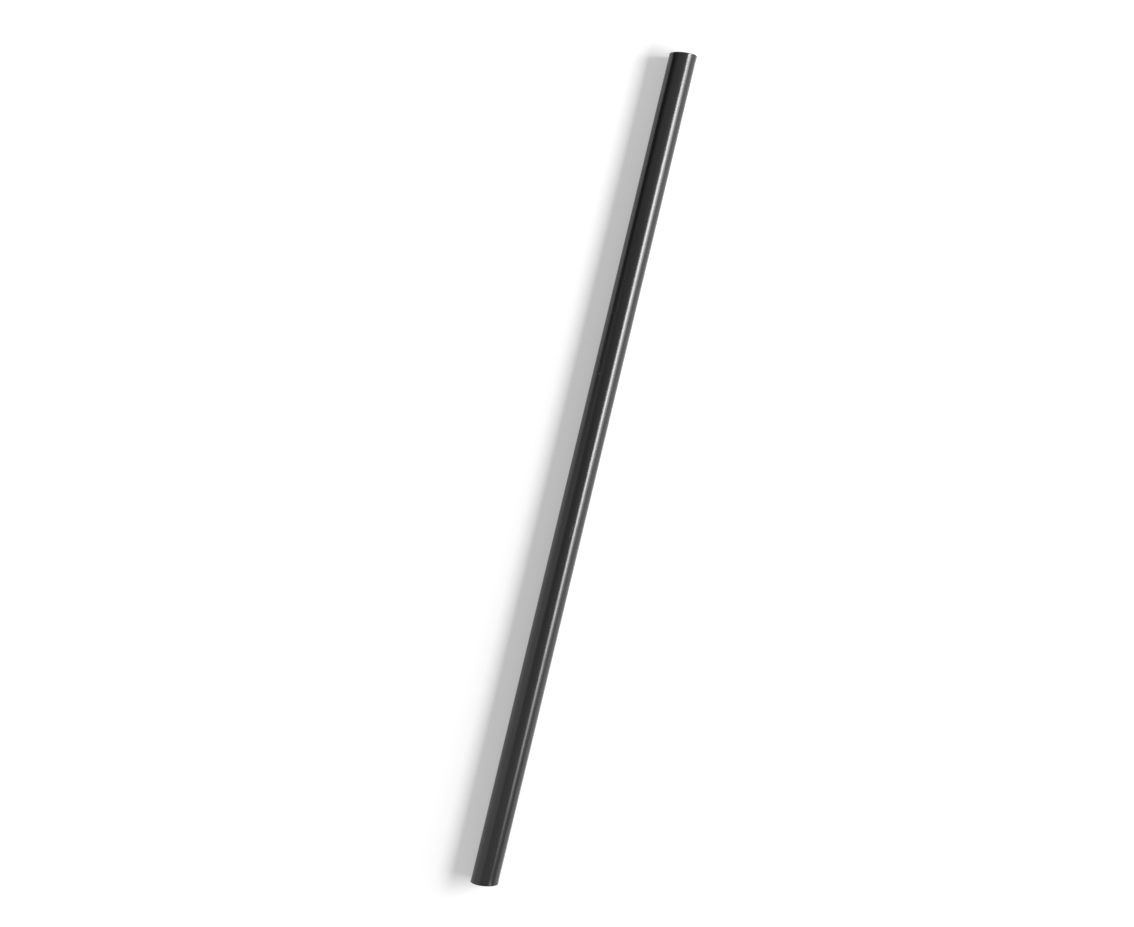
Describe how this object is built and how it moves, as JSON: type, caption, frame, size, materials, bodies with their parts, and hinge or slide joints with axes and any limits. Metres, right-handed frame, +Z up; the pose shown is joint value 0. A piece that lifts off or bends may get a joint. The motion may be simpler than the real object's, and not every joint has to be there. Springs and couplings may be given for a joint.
{
  "type": "plastic drinking straw",
  "caption": "Straight round drinking straw: one thin-walled plastic tube, open from end to end, with both ends cut square and opened out very slightly.",
  "frame": {"origin": "on the surface that the straw lies on, under the middle of its length", "axes": "+X along the straw's axis, +Z up from the surface"},
  "size_m": [0.25, 0.0082, 0.0081],
  "materials": {
    "straw_plastic": "satin-gloss extruded polypropylene, black, with faint lengthwise draw lines and a matt cut edge"
  },
  "bodies": {
    "root": {"straw": "straw_plastic"}
  },
  "joints": []
}
